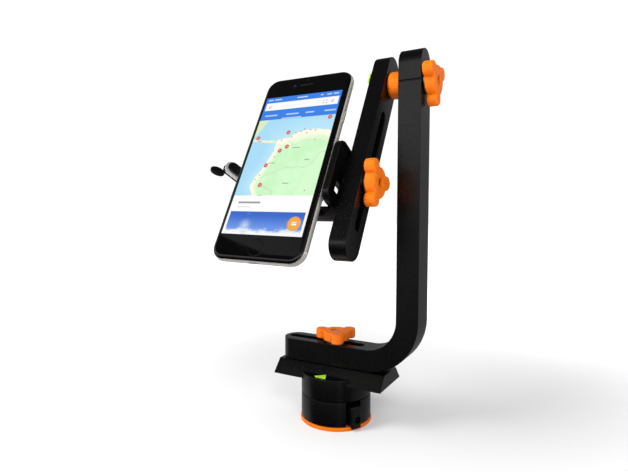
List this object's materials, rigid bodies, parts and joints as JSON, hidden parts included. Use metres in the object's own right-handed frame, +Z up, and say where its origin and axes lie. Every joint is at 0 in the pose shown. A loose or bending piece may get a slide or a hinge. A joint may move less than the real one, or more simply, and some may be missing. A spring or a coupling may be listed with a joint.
{
  "type": "phone-carrying panoramic and star tracker mount",
  "caption": "L-shaped bracket on a turning pan base, with a tilting slotted arm and a spring clamp that holds a phone at any height and angle",
  "frame": {"origin": "centre of the base ring's bottom face, on the pan axis", "axes": "+Z up along the pan axis, +X along the horizontal arm towards the upright, -Y towards the side that the phone faces"},
  "size_m": [0.1485, 0.1076, 0.253],
  "materials": {
    "orange": "satin moulded plastic",
    "black": "matte black moulded plastic",
    "rubber": "matte",
    "lime": "satin",
    "steel": "zinc plated",
    "brass": "satin",
    "white": "satin",
    "chrome": "polished",
    "champagne": "anodised satin",
    "black_glass": "polished glass over black",
    "screen": "lit picture under glass",
    "board": "circuit board",
    "battery": "foil pouch"
  },
  "bodies": {
    "base": {"base_ring": "orange", "tripod_insert": "brass", "lower_housing": "black", "lock_screw": "steel", "lock_spring": "steel", "thrust_washer": "white", "pan_nut": "steel", "pan_screw": "steel"},
    "lock_block_body": {"lock_block": "black"},
    "pan": {"pan_head": "black", "pan_bushing": "brass", "pan_pointer": "lime", "dovetail_plate": "black", "plate_screw_a": "steel", "plate_screw_b": "steel", "base_bolt": "steel", "base_washer": "steel"},
    "base_knob_body": {"base_knob": "orange", "base_nut": "steel"},
    "arm": {"l_arm": "black", "pivot_bush": "brass", "pivot_spacer": "orange"},
    "swing": {"swing_arm": "black", "swing_pointer": "lime", "pivot_bolt": "steel", "pivot_washer": "steel"},
    "pivot_knob_body": {"pivot_knob": "orange", "pivot_nut": "steel"},
    "carriage": {"clamp_bolt": "steel", "clamp_washer": "steel"},
    "clamp_knob_body": {"clamp_knob": "orange", "clamp_nut": "steel"},
    "clamp": {"fixed_jaw": "black", "clamp_hub": "black", "fixed_pad": "rubber", "jaw_spring": "steel"},
    "jaw": {"moving_jaw": "black", "moving_pad": "rubber", "slide_rod_a": "steel", "slide_rod_b": "steel"},
    "lever": {"lever_cap": "black", "lever_ring": "chrome", "lever_wing": "black"},
    "phone": {"phone_shell": "champagne", "phone_glass": "black_glass", "phone_display": "screen", "phone_home_key": "black_glass", "phone_battery": "battery", "phone_board": "board"}
  },
  "joints": [
    {"name": "lock_block_slide", "type": "slide", "parent": "base", "child": "lock_block_body", "axis": [0.8746, -0.4848, 0], "range_m": [0, 0.0006], "deforming": ["lock_spring"]},
    {"name": "pan_turn", "type": "hinge", "parent": "base", "child": "pan", "pos_m": [0, 0, 0], "axis": [0, 0, 1], "continuous": true},
    {"name": "base_knob_turn", "type": "hinge", "parent": "pan", "child": "base_knob_body", "pos_m": [0, 0, 0.0555], "axis": [0, 0, 1], "range_deg": [0, 720]},
    {"name": "arm_slide", "type": "slide", "parent": "pan", "child": "arm", "axis": [1, 0, 0], "range_m": [-0.017, 0.035]},
    {"name": "swing_tilt", "type": "hinge", "parent": "arm", "child": "swing", "pos_m": [0, 0, 0.232], "axis": [1, 0, 0], "continuous": true},
    {"name": "pivot_knob_turn", "type": "hinge", "parent": "swing", "child": "pivot_knob_body", "pos_m": [0.0636, 0, 0.232], "axis": [1, 0, 0], "range_deg": [0, 720]},
    {"name": "clamp_slide", "type": "slide", "parent": "swing", "child": "carriage", "axis": [0, -0.4924, -0.8704], "range_m": [-0.049, 0.029]},
    {"name": "clamp_knob_turn", "type": "hinge", "parent": "carriage", "child": "clamp_knob_body", "pos_m": [0.0398, -0.03693, 0.16672], "axis": [1, 0, 0], "range_deg": [0, 720]},
    {"name": "clamp_turn", "type": "hinge", "parent": "carriage", "child": "clamp", "pos_m": [0.0265, -0.03693, 0.16672], "axis": [1, 0, 0], "range_deg": [-90, 90]},
    {"name": "jaw_open", "type": "slide", "parent": "clamp", "child": "jaw", "axis": [-1, 0, 0], "range_m": [0, 0.01], "stiffness_N_per_m": 300, "springref_m": -0.01, "deforming": ["jaw_spring"]},
    {"name": "lever_turn", "type": "hinge", "parent": "jaw", "child": "lever", "pos_m": [-0.06044, -0.04076, 0.17858], "axis": [0.7025, 0.3583, -0.6149], "range_deg": [-40, 40]},
    {"name": "phone_out", "type": "slide", "parent": "clamp", "child": "phone", "axis": [0.012, 0.4705, 0.8823], "range_m": [0, 0.15]}
  ]
}
